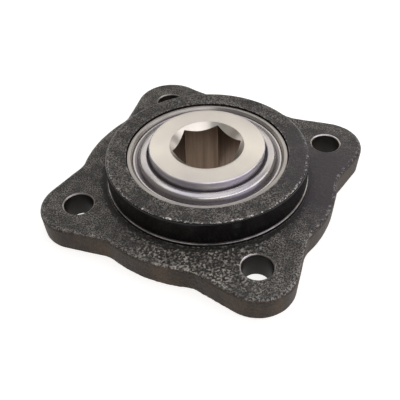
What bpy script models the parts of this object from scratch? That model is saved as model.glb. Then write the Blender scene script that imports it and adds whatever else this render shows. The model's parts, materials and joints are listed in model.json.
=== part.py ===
"""Square four-bolt flange mount bearing with a hexagonal bore.

A cast iron flange housing holds a sealed single-row ball bearing. The bore axis is +Z and the
origin is the point where that axis meets the flange's mounting face. The boss, with the open
front of the bearing, points to +Z. The bolt holes lie on the diagonals of X and Y.
"""

import math

import bmesh
import bpy
from mathutils import Matrix, Vector

MM = 0.001

# ---- Driving dimensions, in millimetres ------------------------------------------------------
GAP = 0.3                   # clearance between pieces that touch on the real object
SEGMENTS = 48               # facets round every large turned piece
HOLE_SEGMENTS = 20
RIVET_SEGMENTS = 8

# Flange housing
BOLT_SQUARE = 100.0         # hole to hole along X and along Y
BOLT_HOLE_R = 7.4           # at the top; the cast hole narrows to its foot
BOLT_HOLE_FOOT_R = 6.9
FLANGE_THICKNESS = 14.0
LOBE_R = 20.0               # round corner about each bolt hole
FLANK_ANGLE = 35.0          # flank of a lobe against the diagonal it lies on, in degrees
BULGE_R = 69.5              # edge midway between two lobes, concentric with the bore
FILLET_R = 13.0             # hollow between a lobe's flank and the bulge
FLANGE_EDGE = 1.8           # rounded-off top edge of the casting
BOSS_R = 53.6
BOSS_TOP = 29.0
BOSS_EDGE = 1.8             # rounding of the boss's outer top edge
BOSS_FOOT = 1.2             # fillet where the boss meets the flange
HOUSING_BORE_R = 42.5 + GAP
SHOULDER_R = 40.2           # opening through the back shoulder
SHOULDER_CHAMFER = 1.2      # back opening, at the mounting face
BORE_CHAMFER = 0.3          # bearing bore, at the boss's top
HOLE_CHAMFER = 1.0
HOLE_FOOT_CHAMFER = 0.4
OVERCUT = 2.0               # how far a cutter reaches past the faces it cuts through

# Ball bearing, 209 size
BEARING_OD = 85.0
OUTER_WIDTH = 22.0
INNER_WIDTH = 33.0
PITCH_R = 32.5
BALL_R = 6.35
BALL_COUNT = 9
BEARING_FRONT = 27.9        # outer ring's front face, just below the boss's top
BEARING_MID = BEARING_FRONT - OUTER_WIDTH / 2
RACE_R = 6.6                # raceway groove, 52% of the ball's diameter
OUTER_LAND_R = 36.0
SEAL_SEAT_R = 39.2          # step in each end of the outer ring that takes the shroud's rim
SEAL_SEAT_DEPTH = 3.2
SEAT_CHAMFER = (1.1, 1.3)   # lead-in to that step, across the face and down the bore
OUTER_EDGE = 0.6            # corners of the outer ring
INNER_LAND_R = 30.4
INNER_EDGE = 1.0            # corners of the inner ring

# Hexagonal bore of the inner ring
HEX_FLATS = 31.75           # 1 1/4 in across flats
HEX_TURN = 37.4             # angle of one corner from +X at rest, in degrees
HEX_MOUTHS = {              # entrance chamfers: radius and slope against the end face, in degrees
    "front": (19.5, 42.0),
    "back": (19.0, 20.0),
}

# Seals: radii, and heights above the outer ring's face, of the middle of the shroud's sheet
SHROUD_SHEET = 0.8
SHROUD_RIM_R = SEAL_SEAT_R - GAP - SHROUD_SHEET / 2
SHROUD_RIM_WIDTH = 0.5
SHROUD_RIM_HEIGHT = -2.1
SHROUD_RIM_END = -SEAL_SEAT_DEPTH + GAP
SHROUD_VALLEY_R = 36.9
SHROUD_VALLEY_HEIGHT = -2.4
SHROUD_SHOULDER = ((35.5, -0.4), (34.7, 0.35))      # facets of the crown's round outer shoulder
SHROUD_CROWN_R = 33.4       # outer edge of the crown's flat
SHROUD_CROWN_HEIGHT = 0.62
SHROUD_INNER_R = 32.2
SHROUD_INNER_END = -0.7     # foot of the turned-down lip

# Two-piece riveted ribbon cage
CAGE_INNER_R = 31.0
CAGE_OUTER_R = 34.0
CAGE_SHEET = 1.0
POCKET_R = BALL_R + 0.45
POCKET_STEPS = 5            # facets from the crown of a pocket to its foot
RIVET_R = 0.7
RIVET_HEAD_R = 1.25
RIVET_HEAD_HEIGHT = 0.5

HEX_CORNER_R = HEX_FLATS / 2 / math.cos(math.radians(30))
BALL_PITCH = 2 * math.pi / BALL_COUNT


# ---- Small helpers ---------------------------------------------------------------------------
def clear_scene():
    for old in list(bpy.data.objects):
        bpy.data.objects.remove(old, do_unlink=True)


def material(name, colour, roughness, metallic):
    """A Principled material of one colour."""
    made = bpy.data.materials.new(name)
    made.use_nodes = True
    shader = made.node_tree.nodes["Principled BSDF"]
    shader.inputs["Base Color"].default_value = (*colour, 1.0)
    shader.inputs["Roughness"].default_value = roughness
    shader.inputs["Metallic"].default_value = metallic
    return made


def make_object(name, shape, finish=None, sharp_angle=30.0):
    """Turn a bmesh given in millimetres into a named object in metres."""
    bmesh.ops.scale(shape, vec=Vector((MM, MM, MM)), verts=shape.verts)
    bmesh.ops.recalc_face_normals(shape, faces=shape.faces)
    mesh = bpy.data.meshes.new(name)
    shape.to_mesh(mesh)
    shape.free()
    mesh.shade_smooth()
    mesh.set_sharp_from_angle(angle=math.radians(sharp_angle))
    made = bpy.data.objects.new(name, mesh)
    bpy.context.collection.objects.link(made)
    if finish:
        mesh.materials.append(finish)
    return made


def boolean(target, other, operation):
    modifier = target.modifiers.new(f"{operation.lower()}_{other.name}", "BOOLEAN")
    modifier.operation = operation
    modifier.solver = "EXACT"
    modifier.object = other
    other.hide_render = True
    other.display_type = "WIRE"


def arc(centre, radius, start, end, steps):
    """Points on an arc, with both ends, from start to end degrees."""
    angles = [math.radians(start + (end - start) * step / steps) for step in range(steps + 1)]
    return [(centre[0] + radius * math.cos(a), centre[1] + radius * math.sin(a)) for a in angles]


def circle(radius, steps, centre=(0.0, 0.0), first=0.0):
    """Corners of a regular polygon on a circle, starting at first degrees."""
    return arc(centre, radius, first, first + 360.0, steps)[:-1]


def turned(name, outline, finish=None):
    """A ring or disc turned about +Z from a closed outline of (radius, height) points."""
    shape = bmesh.new()
    points = [shape.verts.new((radius, 0.0, height)) for radius, height in outline]
    edges = [shape.edges.new((points[i - 1], points[i])) for i in range(len(points))]
    bmesh.ops.spin(
        shape, geom=points + edges, cent=(0, 0, 0), axis=(0, 0, 1),
        angle=2 * math.pi, steps=SEGMENTS, use_merge=True,
    )
    return make_object(name, shape, finish)


def prism(name, levels, finish=None):
    """A closed solid through equal-length outlines, given as (points, height) from the bottom up."""
    shape = bmesh.new()
    loops = [[shape.verts.new((x, y, height)) for x, y in points] for points, height in levels]
    for lower, upper in zip(loops, loops[1:]):
        for i in range(len(lower)):
            shape.faces.new((lower[i - 1], lower[i], upper[i], upper[i - 1]))
    shape.faces.new(loops[0])
    shape.faces.new(loops[-1])
    return make_object(name, shape, finish)


def mirrored(outline):
    """The same outline at the bearing's other end, mirrored through its middle plane."""
    return [(radius, 2 * BEARING_MID - height) for radius, height in outline]


# ---- Flange housing --------------------------------------------------------------------------
def flange_outline(inset=0.0):
    """Outline of the square flange, moved inwards by inset: lobes, flanks, fillets and bulges."""
    lobe_r = LOBE_R - inset
    bulge_r = BULGE_R - inset
    fillet_r = FILLET_R + inset
    lobe_at = BOLT_SQUARE / math.sqrt(2)
    flank = math.radians(FLANK_ANGLE)
    normal = Vector((math.sin(flank), math.cos(flank)))
    # The fillet's centre is fillet_r outside both the flank line and the bulge's circle.
    distance = lobe_r + fillet_r + normal.x * lobe_at
    centre_angle = math.atan2(normal.y, normal.x) - math.acos(distance / (bulge_r + fillet_r))
    fillet_at = Vector((math.cos(centre_angle), math.sin(centre_angle))) * (bulge_r + fillet_r)

    half = arc((lobe_at, 0.0), lobe_r, 0.0, 90.0 - FLANK_ANGLE, 5)
    fillet_start = 270.0 - FLANK_ANGLE
    fillet_end = 180.0 + math.degrees(centre_angle)
    half += arc(fillet_at, fillet_r, fillet_start, fillet_end, 3)
    half += arc((0.0, 0.0), bulge_r, math.degrees(centre_angle), 45.0, 3)[1:]
    # Mirror the half about the lobe's diagonal; each lobe starts just past its left neighbour's end.
    lobe = [(x, -y) for x, y in reversed(half[1:-1])] + half
    outline = []
    for quarter in range(4):
        turn = Matrix.Rotation(math.radians(45.0 + 90.0 * quarter), 2)
        outline += [tuple(turn @ Vector(point)) for point in lobe]
    return outline


def build_housing(finish):
    edge = FLANGE_EDGE
    flange = prism("housing", [
        (flange_outline(), 0.0),
        (flange_outline(), FLANGE_THICKNESS - edge),
        (flange_outline(edge), FLANGE_THICKNESS),
    ], finish)

    # The boss starts inside the flange as a ring, and the bore cutter trims it to size.
    blank_r, blank_low = SHOULDER_R + 1.0, FLANGE_THICKNESS / 2
    boss = turned("boss_blank", [
        (blank_r, blank_low),
        (BOSS_R + BOSS_FOOT, blank_low),
        (BOSS_R + BOSS_FOOT, FLANGE_THICKNESS),
        (BOSS_R, FLANGE_THICKNESS + BOSS_FOOT),
    ] + arc((BOSS_R - BOSS_EDGE, BOSS_TOP - BOSS_EDGE), BOSS_EDGE, 0.0, 90.0, 2) + [
        (blank_r, BOSS_TOP),
    ])
    boolean(flange, boss, "UNION")

    shoulder_top = BEARING_FRONT - OUTER_WIDTH - GAP
    levels = [
        (SHOULDER_R + SHOULDER_CHAMFER, -OVERCUT),
        (SHOULDER_R + SHOULDER_CHAMFER, 0.0),
        (SHOULDER_R, SHOULDER_CHAMFER),
        (SHOULDER_R, shoulder_top),
        (HOUSING_BORE_R, shoulder_top),
        (HOUSING_BORE_R, BOSS_TOP - BORE_CHAMFER),
        (HOUSING_BORE_R + BORE_CHAMFER, BOSS_TOP),
        (HOUSING_BORE_R + BORE_CHAMFER, BOSS_TOP + OVERCUT),
    ]
    loops = [(circle(radius, SEGMENTS), height) for radius, height in levels]
    boolean(flange, prism("bore_cutter", loops), "DIFFERENCE")

    for index, (side_x, side_y) in enumerate(((1, 1), (-1, 1), (-1, -1), (1, -1)), start=1):
        centre = (side_x * BOLT_SQUARE / 2, side_y * BOLT_SQUARE / 2)
        flared = BOLT_HOLE_R + HOLE_CHAMFER + OVERCUT
        levels = [
            (BOLT_HOLE_FOOT_R + HOLE_FOOT_CHAMFER + OVERCUT, -OVERCUT),
            (BOLT_HOLE_FOOT_R, HOLE_FOOT_CHAMFER),
            (BOLT_HOLE_R, FLANGE_THICKNESS - HOLE_CHAMFER),
            (flared, FLANGE_THICKNESS + OVERCUT),
        ]
        loops = [(circle(radius, HOLE_SEGMENTS, centre), height) for radius, height in levels]
        boolean(flange, prism(f"bolt_hole_cutter_{index}", loops), "DIFFERENCE")
    return flange


# ---- Bearing rings ---------------------------------------------------------------------------
def race_angle(land_r, centre_r):
    """Half the opening of a raceway groove where it meets its land, in degrees."""
    return math.degrees(math.acos(abs(land_r - centre_r) / RACE_R))


def build_outer_ring(finish):
    outer_r = BEARING_OD / 2
    low = BEARING_FRONT - OUTER_WIDTH
    high = BEARING_FRONT
    centre_r = PITCH_R + BALL_R + GAP - RACE_R
    opening = race_angle(OUTER_LAND_R, centre_r)
    across, down = SEAT_CHAMFER
    outline = [
        (outer_r - OUTER_EDGE, low),
        (outer_r, low + OUTER_EDGE),
        (outer_r, high - OUTER_EDGE),
        (outer_r - OUTER_EDGE, high),
        (SEAL_SEAT_R + across, high),
        (SEAL_SEAT_R, high - down),
        (SEAL_SEAT_R, high - SEAL_SEAT_DEPTH),
        (OUTER_LAND_R, high - SEAL_SEAT_DEPTH),
    ]
    outline += arc((centre_r, BEARING_MID), RACE_R, opening, -opening, 5)
    outline += [
        (OUTER_LAND_R, low + SEAL_SEAT_DEPTH),
        (SEAL_SEAT_R, low + SEAL_SEAT_DEPTH),
        (SEAL_SEAT_R, low + down),
        (SEAL_SEAT_R + across, low),
    ]
    return turned("outer_ring", outline, finish)


def build_inner_ring(finish):
    low = BEARING_MID - INNER_WIDTH / 2
    high = BEARING_MID + INNER_WIDTH / 2
    centre_r = PITCH_R - BALL_R - GAP + RACE_R
    opening = race_angle(INNER_LAND_R, centre_r)
    hollow_r = HEX_FLATS / 2 - 1.0      # inside the hexagon's flats, which are cut next
    outline = [
        (hollow_r, high),
        (INNER_LAND_R - INNER_EDGE, high),
        (INNER_LAND_R, high - INNER_EDGE),
    ]
    outline += arc((centre_r, BEARING_MID), RACE_R, 180.0 - opening, 180.0 + opening, 5)
    outline += [
        (INNER_LAND_R, low + INNER_EDGE),
        (INNER_LAND_R - INNER_EDGE, low),
        (hollow_r, low),
    ]
    ring = turned("inner_ring", outline, finish)

    corners = circle(HEX_CORNER_R, 6, first=HEX_TURN)
    hexagon = prism("hex_cutter", [(corners, low - OVERCUT), (corners, high + OVERCUT)])
    boolean(ring, hexagon, "DIFFERENCE")
    for end, face, outward in (("front", high, 1.0), ("back", low, -1.0)):
        mouth_r, degrees = HEX_MOUTHS[end]
        slope = math.tan(math.radians(degrees))
        tip_r, base_r = 2.0, mouth_r + 1.0
        levels = [
            (circle(tip_r, SEGMENTS), face - outward * (mouth_r - tip_r) * slope),
            (circle(base_r, SEGMENTS), face + outward * (base_r - mouth_r) * slope),
        ]
        if outward < 0:
            levels.reverse()
        boolean(ring, prism(f"hex_mouth_cutter_{end}", levels), "DIFFERENCE")
    return ring


# ---- Balls and cage --------------------------------------------------------------------------
def ball_place(index):
    angle = BALL_PITCH * index
    return Vector((PITCH_R * math.cos(angle), PITCH_R * math.sin(angle), BEARING_MID)) * MM


def build_balls(finish, parent):
    shape = bmesh.new()
    bmesh.ops.create_uvsphere(shape, u_segments=14, v_segments=8, radius=BALL_R)
    first = make_object("ball_1", shape, finish, sharp_angle=180.0)
    balls = [first]
    for index in range(1, BALL_COUNT):
        ball = bpy.data.objects.new(f"ball_{index + 1}", first.data)
        bpy.context.collection.objects.link(ball)
        balls.append(ball)
    for index, ball in enumerate(balls):
        ball.parent = parent
        ball.location = ball_place(index)
    return balls


def ribbon_band():
    """One pocket of the ribbon from flat to flat, as (along, inner height, along, outer height)."""
    half_flat = GAP / 2
    outer_r = POCKET_R + CAGE_SHEET
    steps = [90.0 * step / POCKET_STEPS for step in range(-POCKET_STEPS, POCKET_STEPS + 1)]
    band = []
    for degrees in steps:
        a = math.radians(degrees)
        inner = (POCKET_R * math.sin(a), max(POCKET_R * math.cos(a), half_flat))
        outer = (outer_r * math.sin(a), max(outer_r * math.cos(a), half_flat + CAGE_SHEET))
        band.append((inner, outer))
    return band


def build_cage_half(name, side, finish, parent):
    """Half of the cage: a sheet ribbon with a round-bottomed pocket over each ball."""
    stations = []
    for index in range(BALL_COUNT):
        start = BALL_PITCH * index
        for pair in ribbon_band():
            stations.append([(start + along / PITCH_R, height) for along, height in pair])
        middle = start + BALL_PITCH / 2
        stations.append([(middle, GAP / 2), (middle, GAP / 2 + CAGE_SHEET)])

    shape = bmesh.new()
    rings = []
    for (inner_angle, inner_z), (outer_angle, outer_z) in stations:
        section = (
            (CAGE_INNER_R, inner_angle, inner_z), (CAGE_OUTER_R, inner_angle, inner_z),
            (CAGE_OUTER_R, outer_angle, outer_z), (CAGE_INNER_R, outer_angle, outer_z),
        )
        rings.append([
            shape.verts.new((r * math.cos(a), r * math.sin(a), BEARING_MID + side * z))
            for r, a, z in section
        ])
    for i, ring in enumerate(rings):
        for corner in range(4):
            shape.faces.new((rings[i - 1][corner - 1], ring[corner - 1], ring[corner], rings[i - 1][corner]))
    half = make_object(name, shape, finish)
    half.parent = parent
    return half


def rivet_outline():
    """Rivet through both halves: shank and two heads, as (radius, height) from its middle."""
    seat = GAP / 2 + CAGE_SHEET + GAP
    top = seat + RIVET_HEAD_HEIGHT
    return [
        (RIVET_HEAD_R * 0.7, -top), (RIVET_HEAD_R, -seat), (RIVET_R, -seat),
        (RIVET_R, seat), (RIVET_HEAD_R, seat), (RIVET_HEAD_R * 0.7, top),
    ]


def build_rivets(finish, parent, halves):
    half_facet = 180.0 / RIVET_SEGMENTS
    for index in range(BALL_COUNT):
        angle = BALL_PITCH * (index + 0.5)
        place = Vector((PITCH_R * math.cos(angle), PITCH_R * math.sin(angle), BEARING_MID)) * MM
        levels = [
            (circle(radius, RIVET_SEGMENTS, first=half_facet), height)
            for radius, height in rivet_outline()
        ]
        rivet = prism(f"cage_rivet_{index + 1}", levels, finish)
        hole = circle(RIVET_R + GAP, RIVET_SEGMENTS, first=half_facet)
        reach = CAGE_SHEET + OVERCUT
        cutter = prism(f"rivet_hole_cutter_{index + 1}", [(hole, -reach), (hole, reach)])
        for piece in (rivet, cutter):
            piece.parent = parent
            piece.location = place
            piece.rotation_euler.z = angle
        for half in halves:
            boolean(half, cutter, "DIFFERENCE")


# ---- Seals -----------------------------------------------------------------------------------
def sheet_outline(path, thickness):
    """Closed outline of bent sheet whose middle follows the path of (radius, height) points."""
    points = [Vector(point) for point in path]
    runs = [(after - before).normalized() for before, after in zip(points, points[1:])]
    left, right = [], []
    for point, before, after in zip(points, runs[:1] + runs, runs + runs[-1:]):
        along = (before + after).normalized()
        across = Vector((-along.y, along.x)) * thickness / 2 / along.dot(after)
        left.append(tuple(point + across))
        right.append(tuple(point - across))
    return left + right[::-1]


def shroud_outline():
    """Pressed steel shroud at the front end: rim, valley, domed crown and turned-down lip."""
    path = [
        (SHROUD_RIM_R, SHROUD_RIM_END),
        (SHROUD_RIM_R, SHROUD_RIM_HEIGHT),
        (SHROUD_RIM_R - SHROUD_RIM_WIDTH, SHROUD_RIM_HEIGHT),
        (SHROUD_VALLEY_R, SHROUD_VALLEY_HEIGHT),
        *SHROUD_SHOULDER,
        (SHROUD_CROWN_R, SHROUD_CROWN_HEIGHT),
        (SHROUD_INNER_R, SHROUD_CROWN_HEIGHT),
        (SHROUD_INNER_R, SHROUD_INNER_END),
    ]
    return [(radius, BEARING_FRONT + height) for radius, height in sheet_outline(path, SHROUD_SHEET)]


def lip_outline():
    """Rubber lip at the front end: bonded under the shroud's raised flat, and wiping the inner ring."""
    face = BEARING_FRONT
    return [
        (34.2, face - 0.75), (33.2, face - 0.5), (33.2, face - 1.1),
        (INNER_LAND_R + GAP, face - 1.1), (31.2, face - 2.6), (34.8, face - 2.6),
    ]


def build_seals(steel, rubber):
    turned("seal_shroud_front", shroud_outline(), steel)
    turned("seal_shroud_back", mirrored(shroud_outline()), steel)
    turned("seal_lip_front", lip_outline(), rubber)
    turned("seal_lip_back", mirrored(lip_outline()), rubber)


# ---- Whole bearing ---------------------------------------------------------------------------
def axis_empty(name):
    """An empty on the bore axis, for the pieces that turn about it."""
    made = bpy.data.objects.new(name, None)
    bpy.context.collection.objects.link(made)
    return made


def main():
    clear_scene()
    iron = material("black_painted_iron", (0.055, 0.05, 0.047), 0.45, 0.0)
    ground = material("ground_bearing_steel", (0.62, 0.60, 0.56), 0.3, 1.0)
    polished = material("polished_ball_steel", (0.72, 0.72, 0.72), 0.08, 1.0)
    pressed = material("pressed_cage_steel", (0.45, 0.43, 0.40), 0.35, 1.0)
    plated = material("plated_shroud_steel", (0.55, 0.53, 0.52), 0.28, 1.0)
    rubber = material("black_nitrile", (0.02, 0.02, 0.02), 0.7, 0.0)

    build_housing(iron)
    build_outer_ring(ground)
    inner_ring = build_inner_ring(ground)
    inner_ring.parent = axis_empty("inner_ring_axis")
    cage_axis = axis_empty("cage_axis")
    build_balls(polished, cage_axis)
    halves = [
        build_cage_half("cage_front", 1.0, pressed, cage_axis),
        build_cage_half("cage_back", -1.0, pressed, cage_axis),
    ]
    build_rivets(pressed, cage_axis, halves)
    build_seals(plated, rubber)


main()
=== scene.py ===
import json
import math

import bpy
import numpy as np
from mathutils import Matrix, Vector, noise


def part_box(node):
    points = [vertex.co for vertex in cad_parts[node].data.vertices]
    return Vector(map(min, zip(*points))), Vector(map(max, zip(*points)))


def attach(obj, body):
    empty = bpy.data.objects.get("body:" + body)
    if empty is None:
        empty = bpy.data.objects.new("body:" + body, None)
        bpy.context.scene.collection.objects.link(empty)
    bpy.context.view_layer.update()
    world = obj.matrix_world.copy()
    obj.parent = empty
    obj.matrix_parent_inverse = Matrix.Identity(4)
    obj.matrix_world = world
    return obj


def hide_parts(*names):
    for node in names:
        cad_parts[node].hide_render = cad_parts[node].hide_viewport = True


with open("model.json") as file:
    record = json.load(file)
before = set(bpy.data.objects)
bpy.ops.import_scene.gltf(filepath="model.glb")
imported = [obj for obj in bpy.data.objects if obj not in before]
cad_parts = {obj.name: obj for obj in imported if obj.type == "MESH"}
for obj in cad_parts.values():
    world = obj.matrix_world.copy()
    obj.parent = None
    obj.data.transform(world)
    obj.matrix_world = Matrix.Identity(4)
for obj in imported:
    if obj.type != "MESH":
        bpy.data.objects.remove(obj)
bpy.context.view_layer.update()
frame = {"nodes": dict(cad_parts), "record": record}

MM = 0.001
RECORD = frame["record"]

# ---- Sizes read from the frame ---------------------------------------------------------------
HOUSING_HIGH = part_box("housing")[1]
OUTER_LOW, OUTER_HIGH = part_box("outer_ring")
INNER_LOW, INNER_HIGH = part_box("inner_ring")
OPENINGS = {opening["name"]: opening["box_m"] for opening in RECORD["physics"]["openings"]}
BOLT_HOLES = [
    ((low[0] + high[0]) / 2, (low[1] + high[1]) / 2)
    for name, (low, high) in sorted(OPENINGS.items()) if name.startswith("bolt_hole")
]
BEARING_MID = (OUTER_LOW.z + OUTER_HIGH.z) / 2
FLANGE_TOP = next(m for m in RECORD["mounts"] if m["name"] == "bolt_seat_face")["pos_m"][2]
BOSS_TOP = HOUSING_HIGH.z

# ---- Housing casting -------------------------------------------------------------------------
BOLT_OFFSET = abs(BOLT_HOLES[0][0])
LOBE_R = HOUSING_HIGH.x - BOLT_OFFSET
FLANK_ANGLE = 35.0
BULGE_R = 69.5 * MM
FILLET_R = 13.0 * MM
DRAFT = 0.7 * MM            # the flange narrows this much towards its mounting face
TOP_EDGE_R = 2.0 * MM
BOTTOM_EDGE = 0.5 * MM
BOSS_R = 53.5 * MM
BOSS_EDGE_R = 2.4 * MM      # at the back; the boss was turned off-centre, so the front edge is sharper
BOSS_FRONT_EDGE_R = 0.9 * MM
BOSS_EDGE_BLEND = 0.3 * MM  # the worn edge fades into the cast top over two steps of this
LEDGE_R = 53.9 * MM         # turned ledge at the foot of the boss
LEDGE_Z = FLANGE_TOP + 0.95 * MM
LEDGE_EDGE_R = 0.15 * MM
LEDGE_CORNER_R = 0.12 * MM
LEDGE_RISE = 0.04 * MM      # towards the boss wall
WALL_FOOT_Z = LEDGE_Z + 1.0 * MM
GROOVE_Z = FLANGE_TOP - 0.2 * MM        # a slight groove outside the ledge
GROOVE_OUT, GROOVE_MID, GROOVE_IN = LEDGE_R + 0.9 * MM, LEDGE_R + 0.5 * MM, LEDGE_R + 0.1 * MM
FOOT_R = 55.6 * MM
FOOT_SHADE_R = 59.5 * MM          # painted shade: the dust thins round the boss's foot out to here
BORE_R = OUTER_HIGH.x + 0.2 * MM
BORE_EDGE = 0.2 * MM
SHOULDER_R = 40.2 * MM
SHOULDER_Z = OUTER_LOW.z - 0.3 * MM
BACK_EDGE = 1.2 * MM        # chamfer round the opening in the mounting face

HOLE_R = 7.4 * MM           # at the top; the cast hole narrows downwards
HOLE_BOTTOM_R = 6.9 * MM
HOLE_BOTTOM_EDGE = 0.2 * MM
HOLE_LIP = 1.3 * MM
HOLE_LIP_STEPS = 5
HOLE_WORN_LEVELS = (4, 5, 6)            # the upper part of the lip, where the paint is rubbed
CUT_BELOW, CUT_ABOVE = 1.0 * MM, 0.6 * MM        # how far a hole's cutter reaches past the casting

COARSE_AT = Vector((22.0, -60.0, 14.0)) * MM     # the sand was coarsest here, and fades out
COARSE_FULL, COARSE_NONE = 16.0 * MM, 52.0 * MM
SMOOTH_AT = Vector((64.0, 22.0, 14.0)) * MM      # the paint is thickest and smoothest here, and tinted violet as a painted sheen
SMOOTH_FULL, SMOOTH_NONE = 20.0 * MM, 48.0 * MM
FLANGE_FULL_Z, FLANGE_NONE_Z = 20.0 * MM, 24.0 * MM     # the flange's look fades out on the way up the boss

# Relief of the casting: the height and size of its waves, then of its grains of sand
WAVES = ((0.10 * MM, 14.0 * MM), (0.06 * MM, 4.0 * MM))
SAND_HEIGHT, COARSE_SAND_HEIGHT, SAND_SIZE = 0.04 * MM, 0.14 * MM, 1.5 * MM
RELIEF_SINK = 0.05 * MM     # the relief's middle lies this far inside the plain shape

# Rub wear, from 0 to 1, on the rim of the flange and the edge of the bore
RIM_SIDE_WEAR, RIM_TOP_WEAR, BORE_WEAR = 0.4, 0.2, 0.3

# ---- Bearing ---------------------------------------------------------------------------------
PITCH_R = 32.5 * MM
BALL_R = 6.35 * MM
RACE_R = 6.6 * MM
RACE_PLAY = 0.3 * MM        # between the bottom of each race and the balls
OUTER_LAND_R = 36.0 * MM
OUTER_CORNER_R = 0.6 * MM
SEAL_SEAT_R = 39.5 * MM
SEAL_SEAT_DEPTH = 3.2 * MM
SEAT_CHAMFER = (0.95 * MM, 1.1 * MM)    # lead-in to the seat, across the face and down the bore
SEAT_CORNER_R = 0.2 * MM
INNER_CORNER_R = 0.85 * MM
HEX_FLATS = 31.75 * MM
HEX_TURN = 37.4             # one corner's angle from +X at rest, in degrees
HEX_CORNER_ROUND = 0.7 * MM
MOUTH_R = 19.5 * MM
MOUTH_SLOPE = 42.0
MOUTH_LIP = 0.12 * MM       # the mouth's edge is broken over this width, and falls by a share of it
MOUTH_LIP_FALL = 0.3
BACK_MOUTH_R = 19.0 * MM
BACK_MOUTH_SLOPE = 20.0

SHROUD_SHEET = 0.8 * MM
# Seal sections: radius, height above the outer ring's face and corner rounding, in millimetres
SHROUD_PATH = (
    (39.0, -3.05, 0.0), (39.0, -2.15, 0.12), (38.6, -2.15, 0.2), (36.95, -2.8, 0.45),
    (35.1, 0.15, 2.0), (33.2, 0.62, 2.0), (31.95, 0.62, 0.5), (31.95, -0.8, 0.0),
)
LIP_OUTLINE = (
    (34.2, -0.75, 0.15), (33.2, -0.5, 0.0), (33.2, -1.1, 0.0), (31.4, -1.1, 0.1), (31.4, 0.1, 0.25),
    (30.65, 0.3, 0.12), (30.8, -1.5, 0.2), (31.2, -2.6, 0.2), (34.8, -2.6, 0.2),
)
VALLEY_SHADE_STARTS = (35.9 * MM, 36.4 * MM)    # painted shade in the shroud's valley fades in and out between these radii
VALLEY_SHADE_ENDS = (38.1 * MM, 38.4 * MM)

# ---- Camera and light, bearings measured from the camera's side ------------------------------
CAMERA_AZIMUTH = 28.0
CAMERA_ELEVATION = 43.96
CAMERA_ROLL = -2.3
CAMERA_DISTANCE = 319.8 * MM
CAMERA_AIM = Vector((6.0, -21.3, 14.0)) * MM
CAMERA_LENS = 55.65
SENSOR_WIDTH = 36.0
CLIP_START = 10.0 * MM

# Softboxes: name, bearing, elevation, width and height in degrees, radiance, colour
LIGHT_DISTANCE = 0.8
SOFTBOXES = (
    ("key", 25.0, 54.0, 52.0, 22.0, 1.8, (1.0, 0.98, 1.0)),
    ("key_side", 94.0, 46.0, 38.0, 26.0, 1.55, (1.0, 0.98, 1.0)),
    ("left_high", 238.0, 60.0, 30.0, 14.0, 0.9, (1.0, 0.97, 0.94)),
    ("back", 180.0, 40.0, 96.0, 25.0, 0.96, (1.0, 0.975, 0.94)),
    ("back_low", 144.0, 18.0, 26.0, 14.0, 0.8, (1.0, 0.96, 0.95)),
    ("ceiling", 180.0, 84.0, 44.0, 46.0, 0.9, (0.95, 0.96, 1.06)),
    ("low_right", 48.0, 12.0, 56.0, 24.0, 0.65, (0.86, 0.80, 1.25)),
)
ROOM_RADIANCE = 0.22
FLOOR_GLOW = 0.80
FLOOR_REACH = 4.0
FLOOR_DROP = 0.05 * MM      # clear of the mounting face

# ---- Mesh density: facets round the axis, and rows or arc steps along the sections -----------
HOUSING_FACETS, RING_FACETS, LIP_FACETS, HOLE_FACETS = 1080, 720, 360, 96
SIDE_ROWS, FLANGE_ROWS, FOOT_SHADE_ROWS, WALL_ROWS, TOP_ROWS = 18, 36, 6, 12, 14
RIM_STEPS, RIM_SIDE_STEPS, BOSS_EDGE_STEPS, RACE_STEPS = 7, 3, 12, 24
# Edges turn sharp where their faces meet at more than this, in degrees
ALL_SMOOTH, PLAIN_SHARP, CASTING_SHARP, INNER_SHARP = 180.0, 35.0, 38.0, 25.0

# ---- What a row is made of: its material slot, and how much of the casting's relief it has ---
# The housing's slots
CAST = {"material": 0, "cast": 1.0}
SMOOTH = {"material": 1}
WORN = {"material": 2}
SIDE = {"material": 3, "cast": 1.0}
# The inner ring's slots, after its ground faces in slot 0
BROACHED = {"material": 1}
WALL = {"material": 2}


# ---- Mesh building ---------------------------------------------------------------------------
def arc(centre, radius, start, end, steps):
    """Points on an arc, with both ends, from start to end degrees."""
    angles = [math.radians(start + (end - start) * step / steps) for step in range(steps + 1)]
    return [(centre[0] + radius * math.cos(a), centre[1] + radius * math.sin(a)) for a in angles]


def rounded(corners, closed=True, facet=15.0):
    """Outline through corners given as (x, y, rounding radius), with an arc at each rounded one."""
    points = []
    count = len(corners)
    for i, (x, y, radius) in enumerate(corners):
        corner = Vector((x, y))
        at_end = not closed and i in (0, count - 1)
        if radius == 0 or at_end:
            points.append(corner)
            continue
        before = (Vector(corners[i - 1][:2]) - corner).normalized()
        after = (Vector(corners[(i + 1) % count][:2]) - corner).normalized()
        half = before.angle(after) / 2
        centre = corner + (before + after).normalized() * radius / math.sin(half)
        first = corner + before * radius / math.tan(half) - centre
        sweep = first.angle_signed(corner + after * radius / math.tan(half) - centre)
        steps = max(2, round(abs(math.degrees(sweep)) / facet))
        for step in range(steps + 1):
            points.append(centre + Matrix.Rotation(-sweep * step / steps, 2) @ first)
    return [tuple(point) for point in points]


def sheet_outline(path, thickness):
    """Closed outline of sheet metal that follows a centre line, with square cut ends."""
    points = [Vector(point) for point in path]
    left, right = [], []
    for i, point in enumerate(points):
        along = (points[min(i + 1, len(points) - 1)] - points[max(i - 1, 0)]).normalized()
        side = Vector((-along.y, along.x)) * thickness / 2
        left.append(tuple(point + side))
        right.append(tuple(point - side))
    return right + left[::-1]


def in_metres(corners):
    return [tuple(value * MM for value in corner) for corner in corners]


def spread(start, end, count):
    """Evenly spaced values between start and end, both left out."""
    return [start + (end - start) * step / (count + 1) for step in range(1, count + 1)]


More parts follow.
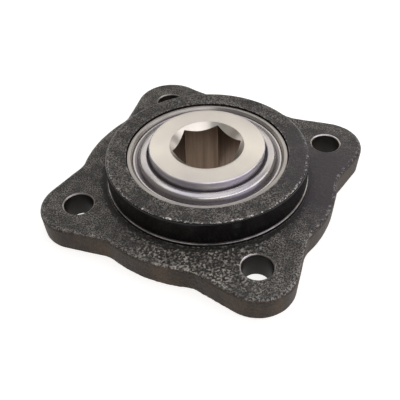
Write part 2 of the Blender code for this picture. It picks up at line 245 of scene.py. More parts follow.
class Lattice:
    """A ring-shaped mesh: rows run counter-clockwise round its section, columns round the Z axis."""

    KINDS = ("radius", "height", "cast", "wear", "pool")

    def __init__(self, facets):
        self.angles = np.arange(facets) * 2 * math.pi / facets
        self.rows = []

    def add(self, radius, height, material=0, cast=0.0, wear=0.0, pool=0.0):
        """One row. Every argument but the material may be one value or one for each column."""
        facets = len(self.angles)
        values = [np.broadcast_to(value, facets) for value in (radius, height, cast, wear, pool)]
        self.rows.append((*values, material))

    def add_all(self, points, **kinds):
        for radius, height in points:
            self.add(radius, height, **kinds)

    def build(self, name, materials, sharp_angle=PLAIN_SHARP):
        """The mesh object, with the wear and the painted foot shade values as point attributes."""
        facets, depth = len(self.angles), len(self.rows)
        radius, height = self.per_point("radius"), self.per_point("height")
        cos, sin = np.cos(self.angles)[:, None], np.sin(self.angles)[:, None]
        points = np.stack([radius * cos, radius * sin, height], axis=2).reshape(-1, 3)

        column, row = np.meshgrid(np.arange(facets), np.arange(depth), indexing="ij")
        next_column, next_row = (column + 1) % facets, (row + 1) % depth
        quads = np.stack([
            column * depth + row, next_column * depth + row,
            next_column * depth + next_row, column * depth + next_row,
        ], axis=2).reshape(-1, 4)

        mesh = bpy.data.meshes.new(name)
        mesh.vertices.add(len(points))
        mesh.vertices.foreach_set("co", points.astype(np.float32).ravel())
        mesh.loops.add(quads.size)
        mesh.loops.foreach_set("vertex_index", quads.astype(np.int32).ravel())
        mesh.polygons.add(len(quads))
        mesh.polygons.foreach_set("loop_start", np.arange(0, quads.size, 4, dtype=np.int32))
        slots = np.tile(np.array([row[-1] for row in self.rows], np.int32), facets)
        mesh.polygons.foreach_set("material_index", slots)
        mesh.update(calc_edges=True)
        for material in materials:
            mesh.materials.append(material)
        for kind in ("wear", "pool"):
            values = self.per_point(kind).astype(np.float32).ravel()
            mesh.attributes.new(kind, "FLOAT", "POINT").data.foreach_set("value", values)
        finish_shading(mesh, sharp_angle)
        made = bpy.data.objects.new(name, mesh)
        bpy.context.scene.collection.objects.link(made)
        return made

    def per_point(self, kind):
        """One of the rows' values at every point, as a column-by-row array."""
        at = self.KINDS.index(kind)
        return np.array([row[at] for row in self.rows]).T


def finish_shading(mesh, sharp_angle):
    """Smooth shading, with sharp edges where faces meet at more than sharp_angle degrees."""
    mesh.shade_smooth()
    mesh.set_sharp_from_angle(angle=math.radians(sharp_angle))


def turned(name, outline, material, facets=RING_FACETS):
    """A ring turned about +Z from a closed counter-clockwise outline of (radius, height) points."""
    ring = Lattice(facets)
    ring.add_all(outline)
    return ring.build(name, [material])


def subtract(target, cutter):
    """Cut one object out of another for good, keeping the cutter's material, and remove the cutter."""
    modifier = target.modifiers.new("cut", "BOOLEAN")
    modifier.operation = "DIFFERENCE"
    modifier.solver = "EXACT"
    modifier.material_mode = "TRANSFER"
    modifier.object = cutter
    graph = bpy.context.evaluated_depsgraph_get()
    result = bpy.data.meshes.new_from_object(target.evaluated_get(graph))
    target.modifiers.clear()
    old, target.data = target.data, result
    bpy.data.meshes.remove(old)
    bpy.data.objects.remove(cutter, do_unlink=True)


def place(piece, body, slot, *nodes):
    """Tell the frame which body a piece rides and the CAD nodes it replaces; its material slot is not used.
    """
    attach(piece, body)
    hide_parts(*nodes)


# ---- Material building -----------------------------------------------------------------------
def start_material(name, colour, roughness, metallic, **sockets):
    """A Principled material with constant values; further sockets are named with _ for a space."""
    made = bpy.data.materials.new(name)
    made.use_nodes = True
    shader = made.node_tree.nodes["Principled BSDF"]
    shader.inputs["Base Color"].default_value = (*colour, 1.0)
    shader.inputs["Roughness"].default_value = roughness
    shader.inputs["Metallic"].default_value = metallic
    for socket, value in sockets.items():
        shader.inputs[socket.replace("_", " ")].default_value = value
    return made, made.node_tree, shader


def node(tree, kind, sockets=None, **settings):
    """Add a node; a socket's value is a number, a colour, or another node's output to link."""
    made = tree.nodes.new(kind)
    for key, value in settings.items():
        setattr(made, key, value)
    for key, value in (sockets or {}).items():
        if isinstance(value, bpy.types.NodeSocket):
            tree.links.new(value, made.inputs[key])
        else:
            made.inputs[key].default_value = value
    return made


def object_place(tree, stretch=(1.0, 1.0, 1.0)):
    """Object coordinates in metres; a small stretch along an axis draws the pattern out along it."""
    where = node(tree, "ShaderNodeTexCoord").outputs["Object"]
    return node(tree, "ShaderNodeMapping", {"Vector": where, "Scale": stretch}).outputs["Vector"]


def attribute(tree, name):
    """A point attribute of the mesh, as a number."""
    return node(tree, "ShaderNodeAttribute", attribute_name=name).outputs["Fac"]


def grain(tree, where, scale, detail=2.0, roughness=0.5, distortion=0.0):
    """Noise from 0 to 1; its grains are about 1 / scale metres across."""
    made = node(tree, "ShaderNodeTexNoise", {
        "Vector": where, "Scale": scale, "Detail": detail, "Roughness": roughness, "Distortion": distortion,
    })
    return made.outputs["Fac"]


def remap(tree, value, low, high, to_low=0.0, to_high=1.0):
    """Map low to high onto to_low to to_high, clamped at both ends."""
    made = node(tree, "ShaderNodeMapRange", {
        "Value": value, "From Min": low, "From Max": high, "To Min": to_low, "To Max": to_high,
    })
    return made.outputs["Result"]


def maths(tree, operation, first, second):
    made = node(tree, "ShaderNodeMath", {0: first, 1: second}, operation=operation)
    return made.outputs[0]


def mix_colour(tree, factor, first, second):
    """Blend from first to second; each is an (r, g, b) colour or another node's output."""
    made = node(tree, "ShaderNodeMix", {0: factor}, data_type="RGBA")
    for socket, value in ((made.inputs[6], first), (made.inputs[7], second)):
        if isinstance(value, bpy.types.NodeSocket):
            tree.links.new(value, socket)
        else:
            socket.default_value = (*value, 1.0)
    return made.outputs[2]


def bump(tree, height, distance, strength=1.0, under=None):
    """A bumped normal, laid over another bump where one is given."""
    sockets = {"Height": height, "Distance": distance, "Strength": strength}
    if under:
        sockets["Normal"] = under
    return node(tree, "ShaderNodeBump", sockets).outputs["Normal"]


def region(tree, where, centre, full, none):
    """1 within full of a centre, falling to 0 at none."""
    away = node(tree, "ShaderNodeVectorMath", {0: where, 1: centre}, operation="DISTANCE").outputs["Value"]
    return remap(tree, away, full, none, 1.0, 0.0)


def drive(tree, shader, colour, roughness, normal):
    """Link a colour, a roughness and a normal to the shader."""
    for socket, value in (("Base Color", colour), ("Roughness", roughness), ("Normal", normal)):
        tree.links.new(value, shader.inputs[socket])


# The cast top: settled dust, brightened on the coarse front patch and low on the flange as painted light,
# paint under it, tinted violet where smoothest as a painted sheen, and iron where the paint has chipped,
# painted near white as its glint
FINE_DUST, DUST_WITH_PAINTED_LIGHT = (0.205, 0.188, 0.168), (0.40, 0.375, 0.33)
THIN_PAINT, THICK_PAINT_AND_PAINTED_SHEEN, COARSE_PAINT = (0.008, 0.0065, 0.006), (0.030, 0.023, 0.030), (0.030, 0.027, 0.022)
CHIPPED_IRON_PAINTED_GLINT = (0.88, 0.85, 0.82)


def cast_paint():
    """Black paint over a sand-cast top: fine grey stipple, wet-looking lumps where the sand was coarse."""
    made, tree, shader = start_material(
        "cast_black_paint", THIN_PAINT, 0.4, 0.0, Specular_IOR_Level=0.45)
    where = object_place(tree)
    height = node(tree, "ShaderNodeSeparateXYZ", {0: where}).outputs["Z"]
    low_down = remap(tree, height, FLANGE_FULL_Z, FLANGE_NONE_Z, 1.0, 0.0)
    coarse = maths(tree, "MULTIPLY", region(tree, where, COARSE_AT, COARSE_FULL, COARSE_NONE), low_down)
    smooth = region(tree, where, SMOOTH_AT, SMOOTH_FULL, SMOOTH_NONE)
    clear = maths(tree, "SUBTRACT", 1.0, coarse)
    fine_sand = maths(tree, "MULTIPLY", grain(tree, where, 1500.0, 2.0, 0.6), clear)
    coarse_sand = maths(tree, "MULTIPLY", grain(tree, where, 780.0, 2.0, 0.5), coarse)
    fine = maths(tree, "ADD", fine_sand, coarse_sand)
    lumps = grain(tree, where, 520.0, 2.0, 0.5, 0.4)
    patches = grain(tree, where, 38.0, 2.0)
    blotches = grain(tree, where, 150.0, 2.0, 0.6)
    rough_cast = maths(tree, "SUBTRACT", 1.0, maths(tree, "MULTIPLY", smooth, 0.9))

    # Dust lies on the grains; it is kept off the lumps' hollows and off the band round the boss's foot,
    # painted shade in both
    dust = maths(tree, "MULTIPLY", remap(tree, fine, 0.46, 0.60), remap(tree, patches, 0.35, 0.65, 0.6, 1.0))
    dust = maths(tree, "MULTIPLY", dust, remap(tree, blotches, 0.38, 0.62, 0.45, 1.35))
    dust = maths(tree, "MULTIPLY", dust, rough_cast)
    # Painted shade: in the coarse patch the dust lies only on the lumps' tops
    dust = maths(tree, "MULTIPLY", dust, maths(tree, "MAXIMUM", remap(tree, lumps, 0.40, 0.50), clear))
    # Painted shade: less dust in the band round the boss's foot
    lumps_less_foot_shade = maths(tree, "SUBTRACT", lumps, maths(tree, "MULTIPLY", attribute(tree, "pool"), 0.5))
    dust = maths(tree, "MULTIPLY", dust, remap(tree, lumps_less_foot_shade, 0.20, 0.30))
    # Painted light: the dust is brighter on the coarse front patch and, by less, all over the low flange
    painted_light_share = maths(tree, "MAXIMUM", coarse, maths(tree, "MULTIPLY", low_down, 0.4))
    dust_and_painted_light = mix_colour(tree, painted_light_share, FINE_DUST, DUST_WITH_PAINTED_LIGHT)

    # Painted sheen: the thick, smooth paint is tinted violet
    under_dust = mix_colour(tree, smooth, THIN_PAINT, THICK_PAINT_AND_PAINTED_SHEEN)
    under_dust = mix_colour(tree, coarse, under_dust, COARSE_PAINT)
    colour = mix_colour(tree, dust, under_dust, dust_and_painted_light)
    chips = remap(tree, grain(tree, where, 700.0, 3.0, 0.7), 0.54, 0.60)
    # Chipped iron on the worn edges, painted near white as its glint
    colour = mix_colour(tree, maths(tree, "MULTIPLY", chips, attribute(tree, "wear")), colour, CHIPPED_IRON_PAINTED_GLINT)
    wetter = maths(tree, "MULTIPLY", coarse, 0.14)
    roughness = maths(tree, "SUBTRACT", remap(tree, patches, 0.3, 0.7, 0.34, 0.48), wetter)
    lumpiness = maths(tree, "ADD", maths(tree, "MULTIPLY", coarse, 0.8), 0.2)
    under = bump(tree, lumps, 1.6 * MM, lumpiness)
    drive(tree, shader, colour, roughness, bump(tree, fine, 0.5 * MM, rough_cast, under))
    return made


def side_paint():
    """The cast side walls: thinner, duller paint with brown showing through."""
    made, tree, shader = start_material(
        "cast_side_paint", (0.045, 0.032, 0.022), 0.55, 0.0, Specular_IOR_Level=0.15)
    fine = grain(tree, object_place(tree), 1300.0, 2.0, 0.6)
    runs = grain(tree, object_place(tree, (1.0, 1.0, 0.4)), 110.0, 3.0, 0.6)
    colour = mix_colour(tree, remap(tree, runs, 0.35, 0.65), (0.028, 0.020, 0.015), (0.085, 0.062, 0.043))
    colour = mix_colour(tree, remap(tree, fine, 0.45, 0.65, 0.0, 0.5), colour, (0.010, 0.007, 0.005))
    rubbed = maths(tree, "MULTIPLY", remap(tree, fine, 0.48, 0.58), attribute(tree, "wear"))
    colour = mix_colour(tree, rubbed, colour, (0.30, 0.27, 0.235))
    drive(tree, shader, colour, remap(tree, runs, 0.3, 0.7, 0.45, 0.65), bump(tree, fine, 0.4 * MM, 0.8))
    return made


def smooth_paint():
    """The same paint on a turned surface: nearly black and glossy, with faint tool lines."""
    made, tree, shader = start_material(
        "smooth_black_paint", (0.004, 0.0035, 0.0035), 0.16, 0.0, Specular_IOR_Level=0.35)
    lines = grain(tree, object_place(tree, (1.0, 1.0, 30.0)), 160.0, 2.0)
    cloud = grain(tree, object_place(tree), 90.0, 3.0)
    colour = mix_colour(tree, remap(tree, cloud, 0.35, 0.7), (0.0035, 0.003, 0.003), (0.008, 0.007, 0.0065))
    drive(tree, shader, colour, remap(tree, cloud, 0.3, 0.7, 0.12, 0.24), bump(tree, lines, 0.05 * MM, 0.5))
    return made


def drilled_paint():
    """Paint inside the bolt holes: thin, brownish and dull, over marks that run round the hole."""
    made, tree, shader = start_material(
        "drilled_paint", (0.012, 0.01, 0.008), 0.5, 0.0, Specular_IOR_Level=0.25)
    cloud = grain(tree, object_place(tree), 150.0, 3.0)
    lines = grain(tree, object_place(tree, (0.15, 0.15, 1.0)), 900.0, 2.0)
    colour = mix_colour(tree, remap(tree, cloud, 0.35, 0.65), (0.006, 0.005, 0.004), (0.024, 0.019, 0.014))
    drive(tree, shader, colour, remap(tree, cloud, 0.3, 0.7, 0.40, 0.55), bump(tree, lines, 0.06 * MM, 0.6))
    return made


def worn_edge():
    """The ledge and the bolt holes' lips, where the paint has rubbed through to iron."""
    made, tree, shader = start_material("worn_edge", (0.40, 0.38, 0.37), 0.3, 1.0)
    where = object_place(tree)
    rubbed = grain(tree, where, 60.0, 3.0, 0.6)
    colour = mix_colour(tree, remap(tree, rubbed, 0.4, 0.6), (0.20, 0.185, 0.175), (0.58, 0.55, 0.54))
    roughness = remap(tree, rubbed, 0.35, 0.65, 0.42, 0.28)
    drive(tree, shader, colour, roughness, bump(tree, grain(tree, where, 900.0), 0.02 * MM, 0.5))
    return made


def ground_steel(name, light, dark):
    """Ground ring steel: a satin turned face with very fine rings, and a few handling marks."""
    made, tree, shader = start_material(name, light, 0.30, 1.0, Anisotropic=0.75, Anisotropic_Rotation=0.25)
    where = object_place(tree)
    rings = node(tree, "ShaderNodeTexWave", {
        "Vector": where, "Scale": 900.0, "Distortion": 1.2, "Detail": 2.0, "Detail Scale": 1.5,
    }, wave_type="RINGS", rings_direction="Z").outputs["Fac"]
    cloud = grain(tree, where, 45.0, 2.0)
    marks = remap(tree, grain(tree, where, 330.0, 3.0, 0.6), 0.6, 0.8, 0.0, 0.05)
    colour = mix_colour(tree, remap(tree, cloud, 0.35, 0.65), light, dark)
    roughness = maths(tree, "ADD", remap(tree, cloud, 0.3, 0.7, 0.28, 0.32), marks)
    drive(tree, shader, colour, roughness, bump(tree, rings, 0.005 * MM, 0.4))
    tangent = node(tree, "ShaderNodeTangent", direction_type="RADIAL", axis="Z").outputs["Tangent"]
    tree.links.new(tangent, shader.inputs["Tangent"])
    return made


def broached_steel():
    """The hexagon's flats: broached along the bore, brown with oil."""
    made, tree, shader = start_material("broached_steel", (0.20, 0.14, 0.10), 0.38, 1.0)
    streaks = grain(tree, object_place(tree, (1.0, 1.0, 0.04)), 1500.0, 3.0, 0.6)
    bands = grain(tree, object_place(tree, (1.0, 1.0, 0.03)), 420.0, 2.0)
    colour = mix_colour(tree, remap(tree, bands, 0.35, 0.65), (0.125, 0.087, 0.062), (0.18, 0.13, 0.097))
    roughness = remap(tree, streaks, 0.3, 0.7, 0.30, 0.46)
    drive(tree, shader, colour, roughness, bump(tree, streaks, 0.05 * MM, 0.5))
    return made


def shroud_steel():
    """Pressed and plated sheet steel, faintly violet, with painted shade darkening the valley inside its rim.
    """
    made, tree, shader = start_material("shroud_steel", (0.54, 0.52, 0.51), 0.26, 1.0)
    where = object_place(tree)
    cloud = grain(tree, where, 60.0, 3.0)
    marks = grain(tree, where, 120.0, 2.0)
    flat = node(tree, "ShaderNodeVectorMath", {0: where, 1: (1.0, 1.0, 0.0)}, operation="MULTIPLY")
    out = node(tree, "ShaderNodeVectorMath", {0: flat.outputs["Vector"]}, operation="LENGTH").outputs["Value"]
    valley_shade = maths(tree, "MULTIPLY", remap(tree, out, *VALLEY_SHADE_STARTS), remap(tree, out, *VALLEY_SHADE_ENDS, 1.0, 0.0))
    colour = mix_colour(tree, remap(tree, cloud, 0.35, 0.65), (0.60, 0.575, 0.555), (0.53, 0.505, 0.53))
    # Painted shade: the valley inside the rim is darkened
    colour = mix_colour(tree, valley_shade, colour, (0.24, 0.22, 0.23))
    drive(tree, shader, colour, remap(tree, marks, 0.3, 0.7, 0.26, 0.29), bump(tree, marks, 0.001 * MM, 0.2))
    return made


def seal_rubber():
    """Matt black rubber with a very fine grain."""
    made, tree, shader = start_material("seal_rubber", (0.04, 0.038, 0.04), 0.5, 0.0)
    where = object_place(tree)
    fine = grain(tree, where, 1400.0, 2.0)
    colour = mix_colour(tree, grain(tree, where, 200.0), (0.032, 0.03, 0.032), (0.055, 0.052, 0.055))
    drive(tree, shader, colour, remap(tree, fine, 0.3, 0.7, 0.5, 0.7), bump(tree, fine, 0.03 * MM, 0.5))
    return made


def polished_steel(name, colour, roughness):
    """Ball and cage steel, with a thin film of grease that breaks up the gloss."""
    made, tree, shader = start_material(name, colour, roughness, 1.0)
    film = grain(tree, object_place(tree), 300.0, 3.0)
    greasy = tuple(channel * 0.8 for channel in colour)
    mixed = mix_colour(tree, remap(tree, film, 0.4, 0.7), colour, greasy)
    duller = remap(tree, film, 0.35, 0.7, roughness, roughness + 0.12)
    drive(tree, shader, mixed, duller, bump(tree, film, 0.01 * MM, 0.3))
    return made


# ---- Housing ---------------------------------------------------------------------------------
def flange_radius(angles, inset=0.0):
    """Distance from the axis to the flange's outline, moved inwards by inset, at each angle."""
    lobe_r, bulge_r, fillet_r = LOBE_R - inset, BULGE_R - inset, FILLET_R + inset
    lobe_at = BOLT_OFFSET * math.sqrt(2)
    flank = math.radians(FLANK_ANGLE)
    normal_angle = math.pi / 2 - flank
    flank_far = lobe_r + lobe_at * math.sin(flank)
    fillet_far = bulge_r + fillet_r
    fillet_angle = normal_angle - math.acos((flank_far + fillet_r) / fillet_far)

    # Fold every angle into the half sector between a lobe's diagonal (0) and a bulge's middle.
    turn = np.abs(angles % (math.pi / 2) - math.pi / 4)
    on_lobe = lobe_at * np.cos(turn) + np.sqrt(np.maximum(lobe_r ** 2 - (lobe_at * np.sin(turn)) ** 2, 0.0))
    on_flank = flank_far / np.cos(turn - normal_angle)
    off_fillet = np.sin(turn - fillet_angle) * fillet_far
    fillet_depth = np.sqrt(np.maximum(fillet_r ** 2 - off_fillet ** 2, 0.0))
    on_fillet = fillet_far * np.cos(turn - fillet_angle) - fillet_depth

    lobe_end = math.atan2(lobe_r * math.cos(flank), lobe_at + lobe_r * math.sin(flank))
    fillet_x = fillet_far * math.cos(fillet_angle) - fillet_r * math.sin(flank)
    fillet_y = fillet_far * math.sin(fillet_angle) - fillet_r * math.cos(flank)
    flank_end = math.atan2(fillet_y, fillet_x)
    return np.where(turn < lobe_end, on_lobe,
                    np.where(turn < flank_end, on_flank, np.where(turn < fillet_angle, on_fillet, bulge_r)))


def flange_section(casting):
    """Rows over the mounting face, the side wall, the rounded rim and the top, in to the boss's foot."""
    angles = casting.angles
    back = SHOULDER_R + BACK_EDGE
    outer = flange_radius(angles, DRAFT + BOTTOM_EDGE)
    for share in (0.0, 0.2, 0.4, 0.6, 0.8, 1.0):
        casting.add(back + (outer - back) * share, 0.0, **SMOOTH)
    side_top = FLANGE_TOP - TOP_EDGE_R
    for height in [BOTTOM_EDGE] + spread(BOTTOM_EDGE, side_top, SIDE_ROWS):
        inset = DRAFT * (1.0 - height / side_top)
        casting.add(flange_radius(angles, inset), height, **SIDE)
    for step in range(RIM_STEPS + 1):
        a = math.radians(90.0 * step / RIM_STEPS)
        inset = TOP_EDGE_R * (1 - math.cos(a))
        wear, kinds = RIM_TOP_WEAR, CAST
        if step < RIM_SIDE_STEPS:
            wear, kinds = RIM_SIDE_WEAR * step / RIM_SIDE_STEPS, SIDE
        casting.add(flange_radius(angles, inset), side_top + TOP_EDGE_R * math.sin(a), wear=wear, **kinds)
    rim = flange_radius(angles, TOP_EDGE_R)
    for share in spread(1.0, 0.0, FLANGE_ROWS):
        casting.add(FOOT_SHADE_R + (rim - FOOT_SHADE_R) * share, FLANGE_TOP, **CAST)
    # Painted shade: the dust thins more on each row towards the boss's foot
    for share in spread(1.0, 0.0, FOOT_SHADE_ROWS):
        casting.add(FOOT_R + (FOOT_SHADE_R - FOOT_R) * share, FLANGE_TOP, pool=1.0 - share, **CAST)


def ledge_section(casting):
    """Rows over the slight groove, the worn ledge and the start of the boss wall."""
    # Painted shade in full over the groove at the boss's foot
    casting.add_all([(FOOT_R, FLANGE_TOP), (GROOVE_OUT, GROOVE_Z)], pool=1.0, cast=0.5)
    casting.add_all([(GROOVE_MID, GROOVE_Z), (GROOVE_IN, GROOVE_Z)], **SMOOTH)
    ledge = rounded([
        (LEDGE_R, GROOVE_Z + 0.1 * MM, 0.0), (LEDGE_R, LEDGE_Z, LEDGE_EDGE_R),
        (BOSS_R, LEDGE_Z + LEDGE_RISE, LEDGE_CORNER_R), (BOSS_R, WALL_FOOT_Z, 0.0),
    ], closed=False)
    casting.add_all(ledge[:1], **SMOOTH)
    casting.add_all(ledge[1:-1], **WORN)
    casting.add_all(ledge[-1:], **SMOOTH)


def boss_section(casting):
    """Rows up the boss wall, over its edge and top, and down the bore; the front edge is sharp and worn."""
    front = math.radians(CAMERA_AZIMUTH - 90.0)
    sharpness = (1.0 + np.cos(casting.angles - front)) / 2
    edge_r = BOSS_EDGE_R + (BOSS_FRONT_EDGE_R - BOSS_EDGE_R) * sharpness
    wear = sharpness ** 2
    for share in spread(0.0, 1.0, WALL_ROWS):
        casting.add(BOSS_R, WALL_FOOT_Z + (BOSS_TOP - edge_r - WALL_FOOT_Z) * share, **SMOOTH)
    for step in range(BOSS_EDGE_STEPS + 1):
        a = math.radians(90.0 * step / BOSS_EDGE_STEPS)
        kinds = SMOOTH if step <= BOSS_EDGE_STEPS / 2 else {"cast": 0.3, "wear": wear}
        casting.add(BOSS_R - edge_r * (1 - math.cos(a)), BOSS_TOP - edge_r * (1 - math.sin(a)), **kinds)
    casting.add(BOSS_R - edge_r - BOSS_EDGE_BLEND, BOSS_TOP, cast=0.7, wear=wear)

    inner = BORE_R + BORE_EDGE
    for share in [1.0] + spread(1.0, 0.0, TOP_ROWS):
        casting.add(inner + (BOSS_R - edge_r - 2.0 * BOSS_EDGE_BLEND - inner) * share, BOSS_TOP, **CAST)
    casting.add(inner, BOSS_TOP, wear=BORE_WEAR, **CAST)
    casting.add(BORE_R, BOSS_TOP - BORE_EDGE, wear=BORE_WEAR)
    casting.add_all([(BORE_R, BOSS_TOP - 2.0 * BORE_EDGE), (BORE_R, SHOULDER_Z)], **SMOOTH)
    casting.add_all([(SHOULDER_R, SHOULDER_Z), (SHOULDER_R, BACK_EDGE)], **SMOOTH)


def roughen(piece, weights):
    """Move cast surfaces in and out along their normals, as sand casting leaves them."""
    mesh = piece.data
    points = np.empty(len(mesh.vertices) * 3, np.float32)
    mesh.vertices.foreach_get("co", points)
    normals = np.empty(len(mesh.vertices) * 3, np.float32)
    mesh.vertex_normals.foreach_get("vector", normals)
    points, normals = points.reshape(-1, 3), normals.reshape(-1, 3)
    for i in np.nonzero(weights)[0]:
        where = Vector(points[i].tolist())
        away = ((where - COARSE_AT).length - COARSE_FULL) / (COARSE_NONE - COARSE_FULL)
        coarse = min(max(1.0 - away, 0.0), 1.0)
        height = sum(tall * noise.noise(where / wide) for tall, wide in WAVES)
        height += (SAND_HEIGHT + COARSE_SAND_HEIGHT * coarse) * noise.noise(where / SAND_SIZE)
        points[i] += normals[i] * (height - RELIEF_SINK) * weights[i]
    mesh.vertices.foreach_set("co", points.ravel())
    mesh.update()


def build_housing():
    """The casting, drawn from its mounting face round the outside to the boss and down its bore."""
    casting = Lattice(HOUSING_FACETS)
    flange_section(casting)
    ledge_section(casting)
    boss_section(casting)
    materials = [cast_paint(), smooth_paint(), worn_edge(), side_paint()]
    housing = casting.build("housing_casting", materials, ALL_SMOOTH)
    roughen(housing, casting.per_point("cast").ravel())
    finishes = (drilled_paint(), worn_edge())
    for index, centre in enumerate(BOLT_HOLES):
        subtract(housing, plug_cutter(index, centre, finishes))
    finish_shading(housing.data, CASTING_SHARP)
    place(housing, "housing", "cast_housing", "housing")


def plug_cutter(index, centre, finishes):
    """A plug that cuts one bolt hole, with a rounded lip on top and a small chamfer below.

    The first finish is the hole's wall, and the second its worn lip.
    """
    foot_r = HOLE_BOTTOM_R + HOLE_BOTTOM_EDGE + CUT_BELOW
    outline = [(foot_r, -CUT_BELOW), (HOLE_BOTTOM_R, HOLE_BOTTOM_EDGE)]
    # The lip's arc stops short of flat, so that the cutter leaves the rough top at a clear angle
    outline += arc((HOLE_R + HOLE_LIP, FLANGE_TOP - HOLE_LIP), HOLE_LIP, 180.0, 105.0, HOLE_LIP_STEPS)
    outline += [(HOLE_R + 2.0 * HOLE_LIP, FLANGE_TOP + CUT_ABOVE)]
    facets = HOLE_FACETS
    points, faces = [], []
    for radius, height in outline:
        for step in range(facets):
            a = 2 * math.pi * step / facets
            points.append((centre[0] + radius * math.cos(a), centre[1] + radius * math.sin(a), height))
    for level in range(len(outline) - 1):
        for step in range(facets):
            low, ahead = level * facets + step, level * facets + (step + 1) % facets
            faces.append((low, ahead, ahead + facets, low + facets))
    faces.append(tuple(range(facets))[::-1])
    faces.append(tuple(range((len(outline) - 1) * facets, len(outline) * facets)))
    mesh = bpy.data.meshes.new(f"plug_cutter_{index}")
    mesh.from_pydata(points, [], faces)
    for finish in finishes:
        mesh.materials.append(finish)
    for level in HOLE_WORN_LEVELS:
        for face in mesh.polygons[level * facets:(level + 1) * facets]:
            face.material_index = 1
    cutter = bpy.data.objects.new(mesh.name, mesh)
    bpy.context.scene.collection.objects.link(cutter)
    return cutter


# ---- Bearing rings ---------------------------------------------------------------------------
def race_opening(land_r, centre_r):
    """Half the angle of the race's arc, in degrees, from its middle to where it meets the land."""
    return math.degrees(math.acos(abs(land_r - centre_r) / RACE_R))


def build_outer_ring(steel):
    """The outer ring: plain outside, a stepped and chamfered seat for each seal, and the race."""
    outer, low, high = OUTER_HIGH.x, OUTER_LOW.z, OUTER_HIGH.z
    centre_r = PITCH_R + BALL_R + RACE_PLAY - RACE_R
    opening = race_opening(OUTER_LAND_R, centre_r)
    edge_r, edge_z = SEAL_SEAT_R + SEAT_CHAMFER[0], SEAT_CHAMFER[1]
    outside = rounded([
        (OUTER_LAND_R, low + SEAL_SEAT_DEPTH, 0.0), (SEAL_SEAT_R, low + SEAL_SEAT_DEPTH, SEAT_CORNER_R),
        (SEAL_SEAT_R, low + edge_z, SEAT_CORNER_R), (edge_r, low, SEAT_CORNER_R),
        (outer, low, OUTER_CORNER_R), (outer, high, OUTER_CORNER_R),
        (edge_r, high, SEAT_CORNER_R), (SEAL_SEAT_R, high - edge_z, SEAT_CORNER_R),
        (SEAL_SEAT_R, high - SEAL_SEAT_DEPTH, SEAT_CORNER_R), (OUTER_LAND_R, high - SEAL_SEAT_DEPTH, 0.0),
    ], closed=False)
    race = arc((centre_r, BEARING_MID), RACE_R, opening, -opening, RACE_STEPS)
    ring = turned("outer_ring_ground", outside + race, steel)
    place(ring, "housing", "ring_steel", "outer_ring")


def hex_radius(angles):
    """Distance from the axis to the hexagonal bore's wall, with slightly rounded corners."""
    flat = HEX_FLATS / 2
    sixth = math.pi / 3
    from_corner = (angles - math.radians(HEX_TURN) + sixth / 2) % sixth - sixth / 2
    from_flat = sixth / 2 - np.abs(from_corner)
    corner_at = (flat - HEX_CORNER_ROUND) / math.cos(sixth / 2)
    plain = flat / np.cos(from_flat)
    off = corner_at * np.sin(from_corner)
    round_part = corner_at * np.cos(from_corner) + np.sqrt(np.maximum(HEX_CORNER_ROUND ** 2 - off ** 2, 0.0))
    tangent = math.atan2((flat - HEX_CORNER_ROUND) * math.tan(sixth / 2), flat)
    return np.where(from_flat > tangent, round_part, plain)


def build_inner_ring(steel, wall_steel_painted_violet, broached):
    """The inner ring, drawn from its back mouth round the outside to the front mouth and down the bore."""
    land, low, high = INNER_HIGH.x, INNER_LOW.z, INNER_HIGH.z
    centre_r = PITCH_R - BALL_R - RACE_PLAY + RACE_R
    opening = race_opening(land, centre_r)
    shoulder_r = land - INNER_CORNER_R
    front_corner = (shoulder_r, high - INNER_CORNER_R)
    ring = Lattice(RING_FACETS)
    flats = hex_radius(ring.angles)
    slope = math.tan(math.radians(MOUTH_SLOPE))
    back_slope = math.tan(math.radians(BACK_MOUTH_SLOPE))
    flats_high = high - (MOUTH_R - flats) * slope
    flats_low = low + (BACK_MOUTH_R - flats) * back_slope

    ring.add(flats, flats_low)
    ring.add_all([(radius, low) for radius in [BACK_MOUTH_R] + spread(BACK_MOUTH_R, shoulder_r, 3)])
    ring.add_all(arc((shoulder_r, low + INNER_CORNER_R), INNER_CORNER_R, 270.0, 360.0, 7))
    ring.add_all(arc((centre_r, BEARING_MID), RACE_R, 180.0 + opening, 180.0 - opening, RACE_STEPS), **WALL)
    ring.add_all(arc(front_corner, INNER_CORNER_R, 0.0, 60.0, 5), **WALL)
    ring.add_all(arc(front_corner, INNER_CORNER_R, 75.0, 90.0, 1))
    face_in = MOUTH_R + MOUTH_LIP
    ring.add_all([(radius, high) for radius in spread(shoulder_r, face_in, 3) + [face_in]])
    ring.add(MOUTH_R, high - MOUTH_LIP * MOUTH_LIP_FALL)
    ring.add(MOUTH_R - MOUTH_LIP, high - MOUTH_LIP * (slope + MOUTH_LIP_FALL))
    for share in [0.0] + spread(0.0, 1.0, 5):
        ring.add(flats, flats_high + (flats_low - flats_high) * share, **BROACHED)
    piece = ring.build("inner_ring_ground", [steel, broached, wall_steel_painted_violet], INNER_SHARP)
    place(piece, "inner_ring", "ring_steel", "inner_ring")


# ---- Seals -----------------------------------------------------------------------------------
def at_end(outline, front):
    """An outline drawn from the outer ring's front face, placed at the front or mirrored to the back."""
    if front:
        return [(radius, OUTER_HIGH.z + height) for radius, height in outline]
    return [(radius, OUTER_LOW.z - height) for radius, height in outline][::-1]


def build_seals(sheet, rubber):
    """A pressed shroud and its rubber lip at each end of the bearing."""
    path = rounded(in_metres(SHROUD_PATH), closed=False, facet=8.0)
    lip = rounded(in_metres(LIP_OUTLINE))
    for end in ("front", "back"):
        front = end == "front"
        shroud = turned(f"shroud_{end}", at_end(sheet_outline(path, SHROUD_SHEET), front), sheet)
        place(shroud, "housing", "shroud_steel", f"seal_shroud_{end}")
        wiper = turned(f"wiper_{end}", at_end(lip[::-1], front), rubber, LIP_FACETS)
        place(wiper, "housing", "seal_rubber", f"seal_lip_{end}")


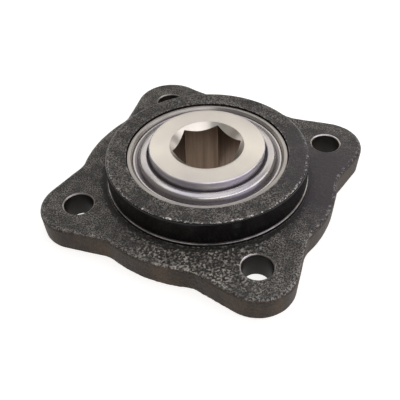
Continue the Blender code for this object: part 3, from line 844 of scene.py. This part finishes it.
# ---- Inside pieces ---------------------------------------------------------------------------
def dress_inside():
    """The balls, cage and rivets keep their CAD solids; the balls and cage get real finishes."""
    finishes = {
        "ball_": polished_steel("ball_steel", (0.74, 0.74, 0.73), 0.06),
        "cage_": polished_steel("cage_steel", (0.46, 0.44, 0.41), 0.3),
    }
    for name, piece in frame["nodes"].items():
        for start, finish in finishes.items():
            if name.startswith(start):
                piece.data.materials.clear()
                piece.data.materials.append(finish)


# ---- Stage -----------------------------------------------------------------------------------
def direction(bearing, elevation):
    """Unit vector from the object: bearing 0 is the camera's side, 90 its right, 180 behind it."""
    a, e = math.radians(CAMERA_AZIMUTH + bearing), math.radians(elevation)
    return Vector((math.sin(a) * math.cos(e), -math.cos(a) * math.cos(e), math.sin(e)))


def build_floor():
    """A plain pale floor that glows a little, so that it reads as white."""
    corners = [(x * FLOOR_REACH, y * FLOOR_REACH, 0.0) for x, y in ((-1, -1), (1, -1), (1, 1), (-1, 1))]
    mesh = bpy.data.meshes.new("floor")
    mesh.from_pydata(corners, [], [(0, 1, 2, 3)])
    floor = bpy.data.objects.new("floor", mesh)
    floor.location.z = -FLOOR_DROP
    bpy.context.scene.collection.objects.link(floor)
    made, _, shader = start_material("pale_floor", (0.45, 0.445, 0.44), 0.8, 0.0)
    shader.inputs["Emission Color"].default_value = (1.0, 0.985, 0.965, 1.0)
    shader.inputs["Emission Strength"].default_value = FLOOR_GLOW
    mesh.materials.append(made)


def softbox(name, bearing, elevation, width, height, radiance, colour):
    """A softbox facing the object; width and height are angles as seen from the object."""
    size = [2 * LIGHT_DISTANCE * math.tan(math.radians(angle / 2)) for angle in (width, height)]
    light = bpy.data.lights.new(name, "AREA")
    light.shape = "RECTANGLE"
    light.size, light.size_y = size
    light.energy = radiance * math.pi * size[0] * size[1]
    light.color = colour
    lamp = bpy.data.objects.new(name, light)
    away = direction(bearing, elevation)
    lamp.location = away * LIGHT_DISTANCE
    lamp.rotation_mode = "QUATERNION"
    lamp.rotation_quaternion = away.to_track_quat("Z", "Y")
    bpy.context.scene.collection.objects.link(lamp)


def build_light():
    """A dim warm room and the softboxes."""
    world = bpy.data.worlds.new("soft_room")
    world.use_nodes = True
    background = world.node_tree.nodes["Background"]
    background.inputs["Color"].default_value = (1.0, 0.95, 0.88, 1.0)
    background.inputs["Strength"].default_value = ROOM_RADIANCE
    bpy.context.scene.world = world
    for box in SOFTBOXES:
        softbox(*box)


def build_camera():
    """The camera looks back along direction(0, CAMERA_ELEVATION) at its aim, rolled slightly."""
    camera = bpy.data.objects.new("camera", bpy.data.cameras.new("camera"))
    camera.data.lens = CAMERA_LENS
    camera.data.sensor_width = SENSOR_WIDTH
    back = direction(0.0, CAMERA_ELEVATION)
    right = Vector((0.0, 0.0, 1.0)).cross(back).normalized()
    up = back.cross(right)
    roll = math.radians(CAMERA_ROLL)
    axes = (right * math.cos(roll) + up * math.sin(roll), up * math.cos(roll) - right * math.sin(roll), back)
    turn = Matrix(axes).transposed().to_4x4()
    camera.matrix_world = Matrix.Translation(CAMERA_AIM + back * CAMERA_DISTANCE) @ turn
    camera.data.clip_start = CLIP_START
    bpy.context.scene.collection.objects.link(camera)
    bpy.context.scene.camera = camera


def main():
    inner_steel = ground_steel("inner_ring_steel", (0.72, 0.68, 0.62), (0.66, 0.62, 0.58))
    # The wall is the face's steel tinted violet: a painted reflection of the violet light on the right
    wall_steel_painted_violet = ground_steel("inner_wall_steel_painted_violet", (0.72, 0.69, 0.73), (0.64, 0.61, 0.655))
    outer_steel = ground_steel("outer_ring_steel", (0.42, 0.40, 0.375), (0.35, 0.33, 0.315))
    build_camera()
    build_housing()
    build_outer_ring(outer_steel)
    build_inner_ring(inner_steel, wall_steel_painted_violet, broached_steel())
    build_seals(shroud_steel(), seal_rubber())
    dress_inside()
    build_floor()
    build_light()
    bpy.context.scene.view_settings.view_transform = "Standard"


main()
